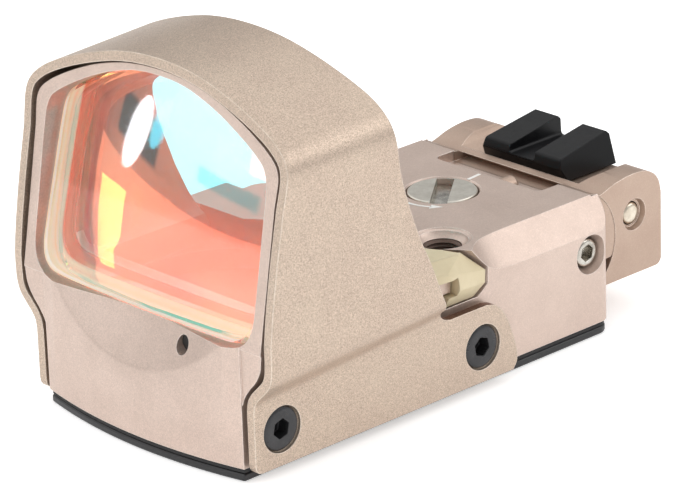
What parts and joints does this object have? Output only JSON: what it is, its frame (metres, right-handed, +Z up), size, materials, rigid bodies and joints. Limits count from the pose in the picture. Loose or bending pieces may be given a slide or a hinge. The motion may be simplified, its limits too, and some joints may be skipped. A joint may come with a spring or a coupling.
{
  "type": "open reflex sight",
  "caption": "Compact open red dot sight: thick coated objective in a sheet hood, slotted elevation dial, side button and a hinged battery door with a rear notch sight.",
  "frame": {"origin": "centre of the footprint of the bounding box, on the bottom face of the base plate", "axes": "+Z up; the objective faces -Y and the user looks in from +Y; the power button is on +X"},
  "size_m": [0.0332, 0.0548, 0.0341],
  "materials": {
    "hood_metal": "bead-blasted and anodised tan with fine sparkle, lightly worn rim",
    "body_metal": "satin anodised pinkish beige with bright machined edges",
    "door_metal": "satin anodised tan, browner than the body",
    "black_metal": "black, smooth satin",
    "steel": "bright, lightly brushed",
    "dial_metal": "bright turned face",
    "glass": "coated glass: passes cyan, mirrors orange red",
    "rubber": "black moulded rubber",
    "button_polymer": "khaki moulded, smooth matte",
    "board": "green solder mask",
    "contact": "gold-plated spring bronze",
    "black_polymer": "black moulded",
    "emitter": "clear red package"
  },
  "bodies": {
    "housing": {"body_housing": "body_metal", "hood_shroud": "hood_metal", "hood_screw_left_front": "black_metal", "hood_screw_left_rear": "black_metal", "hood_screw_right_front": "black_metal", "hood_screw_right_rear": "black_metal", "base_plate": "black_metal", "base_gasket": "rubber", "front_lens": "glass", "rear_lens": "glass", "lens_seal": "rubber", "emitter_window": "glass", "circuit_board": "board", "tact_switch": "black_polymer", "coin_cell": "steel", "negative_contact": "contact", "positive_contact": "contact", "ambient_light_window": "black_polymer", "door_pivot_left": "steel", "door_pivot_right": "steel", "detent_spring": "steel", "elevation_spring": "steel", "windage_spring": "steel"},
    "elevation_drive": {"elevation_dial": "dial_metal", "elevation_clip": "steel"},
    "windage_drive": {"windage_screw": "steel", "windage_clip": "steel"},
    "elevation_slider": {"elevation_carriage": "black_polymer"},
    "windage_slider": {"windage_carriage": "contact", "led_emitter": "emitter"},
    "button": {"power_button": "button_polymer"},
    "door": {"battery_door": "door_metal", "notch_sight": "black_metal", "sight_cross_pin": "steel"},
    "plunger": {"detent_plunger": "steel"}
  },
  "joints": [
    {"name": "elevation_turn", "type": "hinge", "parent": "housing", "child": "elevation_drive", "pos_m": [0, 0.01015, 0.0127], "axis": [0, 0, 1], "range_deg": [-270, 270]},
    {"name": "elevation_slide", "type": "slide", "parent": "housing", "child": "elevation_slider", "axis": [0, 0, 1], "range_m": [-0.0002625, 0.0002625]},
    {"name": "windage_turn", "type": "hinge", "parent": "housing", "child": "windage_drive", "pos_m": [-0.0117, 0.0075, 0.0093], "axis": [1, 0, 0], "range_deg": [-270, 270]},
    {"name": "windage_slide", "type": "slide", "parent": "elevation_slider", "child": "windage_slider", "axis": [1, 0, 0], "range_m": [-0.000225, 0.000225]},
    {"name": "power_press", "type": "slide", "parent": "housing", "child": "button", "axis": [-1, 0, 0], "range_m": [0, 0.0004], "stiffness_N_per_m": 2500},
    {"name": "door_hinge", "type": "hinge", "parent": "housing", "child": "door", "pos_m": [0, 0.01615, 0.00804], "axis": [1, 0, 0], "range_deg": [0, 55]},
    {"name": "detent_press", "type": "slide", "parent": "housing", "child": "plunger", "axis": [0, -1, 0], "range_m": [0, 0.0005], "stiffness_N_per_m": 800}
  ],
  "couplings": [
    {"joint": "elevation_turn", "follows": "elevation_slide", "rad_per_m": 17952},
    {"joint": "windage_turn", "follows": "windage_slide", "rad_per_m": 20944}
  ]
}
